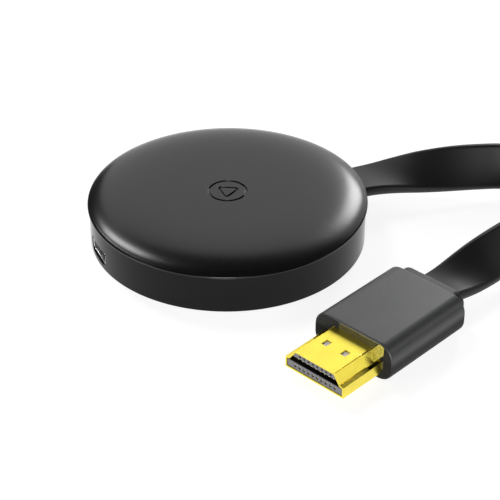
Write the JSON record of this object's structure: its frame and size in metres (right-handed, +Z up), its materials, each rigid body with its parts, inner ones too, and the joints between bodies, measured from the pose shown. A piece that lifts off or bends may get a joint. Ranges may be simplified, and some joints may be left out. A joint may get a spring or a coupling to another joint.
{
  "type": "streaming media player",
  "caption": "Flat round streaming media player with a domed satin cover, a glossy wall with a power port, and a short ribbon cable that ends in a gold-plated display plug.",
  "frame": {"origin": "middle of the round case's underside, on the surface it lies on", "axes": "+Z up through the case; +X out of the wall where the ribbon cable leaves; the power port faces -X"},
  "size_m": [0.097, 0.0885, 0.0112],
  "materials": {
    "base_gloss_black": "gloss",
    "cover_satin_black": "satin, fine grain",
    "board_green": "solder mask",
    "screw_steel": "zinc plated",
    "chip_black": "matt epoxy",
    "shield_tin": "tinned sheet",
    "pad_blue": "soft, matt",
    "spreader_aluminium": "rolled",
    "inductor_grey": "pressed powder",
    "capacitor_tan": "ceramic",
    "crystal_metal": "brushed",
    "antenna_brass": "stamped sheet",
    "port_steel": "bright tin",
    "port_plastic": "moulded",
    "contact_gold": "gold plated",
    "switch_black": "moulded",
    "plunger_cream": "moulded",
    "button_black": "gloss",
    "led_white": "clear resin",
    "light_guide_clear": "clear",
    "anchor_black": "moulded",
    "clamp_steel": "stamped sheet",
    "connector_cream": "moulded",
    "conductor_copper": "bare copper",
    "ribbon_black": "satin jacket",
    "collar_black": "satin",
    "housing_charcoal": "fine grain",
    "plug_gold": "polished gold plate",
    "insulator_grey": "moulded"
  },
  "bodies": {
    "case": {"base_shell": "base_gloss_black", "top_cover": "cover_satin_black", "main_board": "board_green", "board_screws": "screw_steel", "processor_chip": "chip_black", "memory_chip": "chip_black", "flash_chip": "chip_black", "wireless_chip": "chip_black", "radio_shield": "shield_tin", "shield_can": "shield_tin", "chip_pad": "pad_blue", "thermal_pad": "pad_blue", "heat_spreader": "spreader_aluminium", "inductors": "inductor_grey", "capacitors": "capacitor_tan", "crystal": "crystal_metal", "antenna_left": "antenna_brass", "antenna_right": "antenna_brass", "usb_shell": "port_steel", "usb_tongue": "port_plastic", "usb_contacts": "contact_gold", "switch_body": "switch_black", "status_led": "led_white", "light_guide": "light_guide_clear", "cable_anchor": "anchor_black", "cable_clamp": "clamp_steel", "clamp_screws": "screw_steel", "cable_connector": "connector_cream", "cable_conductors": "conductor_copper", "ribbon_cable": "ribbon_black", "plug_collar": "collar_black", "plug_housing": "housing_charcoal", "plug_shell": "plug_gold", "plug_insulator": "insulator_grey", "plug_contacts_upper": "contact_gold", "plug_contacts_lower": "contact_gold", "plug_card": "board_green", "plug_rear_shield": "shield_tin"},
    "button": {"button_cap": "button_black", "switch_plunger": "plunger_cream"}
  },
  "joints": [
    {"name": "button_press", "type": "slide", "parent": "case", "child": "button", "axis": [0.8192, -0.5736, 0], "range_m": [0, 0.0003], "stiffness_N_per_m": 4000}
  ]
}
